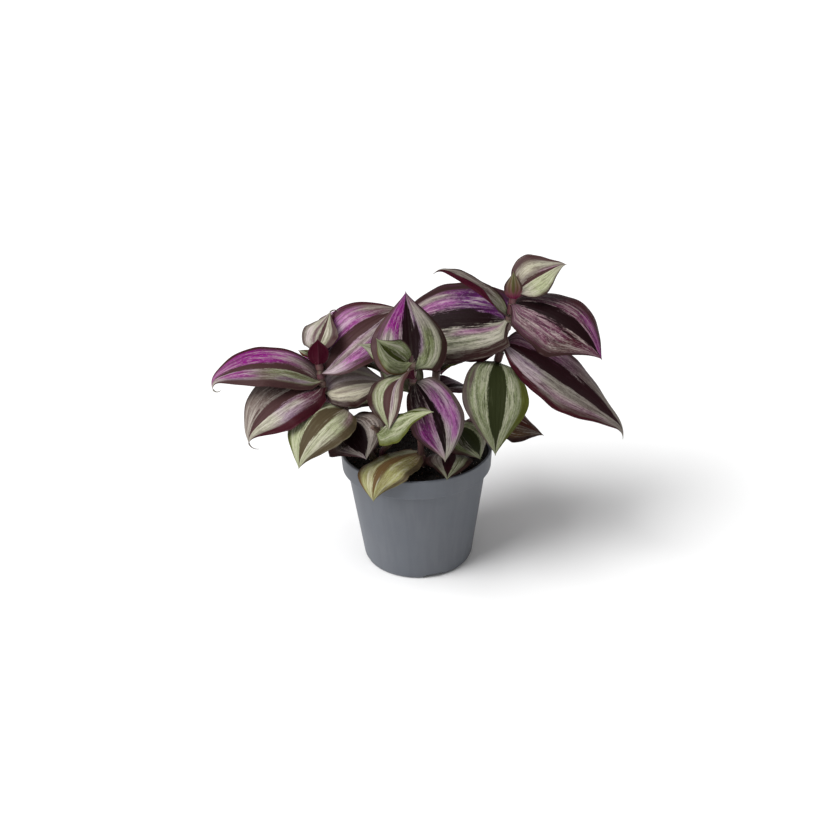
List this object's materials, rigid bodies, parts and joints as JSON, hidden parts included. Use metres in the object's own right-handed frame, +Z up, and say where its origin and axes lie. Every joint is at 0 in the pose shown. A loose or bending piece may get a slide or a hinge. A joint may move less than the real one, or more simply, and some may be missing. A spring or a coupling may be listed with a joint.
{
  "type": "potted tradescantia",
  "caption": "Small trailing house plant with folded, pointed, silver-striped purple leaves on short fleshy stems, growing in soil in a round tapered plastic pot with a collar rim.",
  "frame": {"origin": "centre of the pot's flat underside, on the surface it stands on", "axes": "+Z up along the pot's axis, +X towards the plant's right as seen from the front, -Y towards the front"},
  "size_m": [0.2377, 0.1656, 0.1831],
  "materials": {
    "pot_plastic": "satin matte",
    "potting_soil": "crumbly matte",
    "stem_skin": "smooth satin",
    "leaf_mauve": "striped satin",
    "leaf_green": "striped satin",
    "leaf_young": "satin"
  },
  "bodies": {
    "root": {"pot": "pot_plastic", "soil": "potting_soil", "stem_right": "stem_skin", "stem_left": "stem_skin", "stem_centre": "stem_skin", "stem_low_left": "stem_skin", "stem_low_front": "stem_skin", "stem_low_right": "stem_skin", "stem_low_back": "stem_skin", "stem_back_left": "stem_skin", "stem_back_right": "stem_skin", "leaf_right_1": "leaf_green", "leaf_right_bud": "leaf_young", "leaf_right_3": "leaf_green", "leaf_right_4": "leaf_mauve", "leaf_right_5": "leaf_mauve", "leaf_right_6": "leaf_mauve", "leaf_right_7": "leaf_mauve", "leaf_right_8": "leaf_green", "leaf_right_9": "leaf_mauve", "leaf_left_1": "leaf_mauve", "leaf_left_2": "leaf_mauve", "leaf_left_3": "leaf_green", "leaf_left_4": "leaf_green", "leaf_left_5": "leaf_green", "leaf_left_bud": "leaf_young", "leaf_left_6": "leaf_mauve", "leaf_left_8": "leaf_mauve", "leaf_centre_1": "leaf_green", "leaf_centre_2": "leaf_green", "leaf_centre_3": "leaf_green", "leaf_centre_4": "leaf_green", "leaf_centre_5": "leaf_mauve", "leaf_centre_6": "leaf_green", "leaf_rim_1": "leaf_mauve", "leaf_rim_2": "leaf_green", "leaf_rim_4": "leaf_mauve", "leaf_rim_5": "leaf_green", "leaf_back_1": "leaf_mauve", "leaf_back_2": "leaf_green", "leaf_back_3": "leaf_mauve", "leaf_back_4": "leaf_green", "leaf_back_5": "leaf_mauve", "leaf_back_6": "leaf_green", "leaf_back_7": "leaf_mauve", "leaf_back_8": "leaf_green", "leaf_back_9": "leaf_green", "leaf_back_10": "leaf_mauve", "leaf_back_11": "leaf_green"}
  },
  "joints": []
}
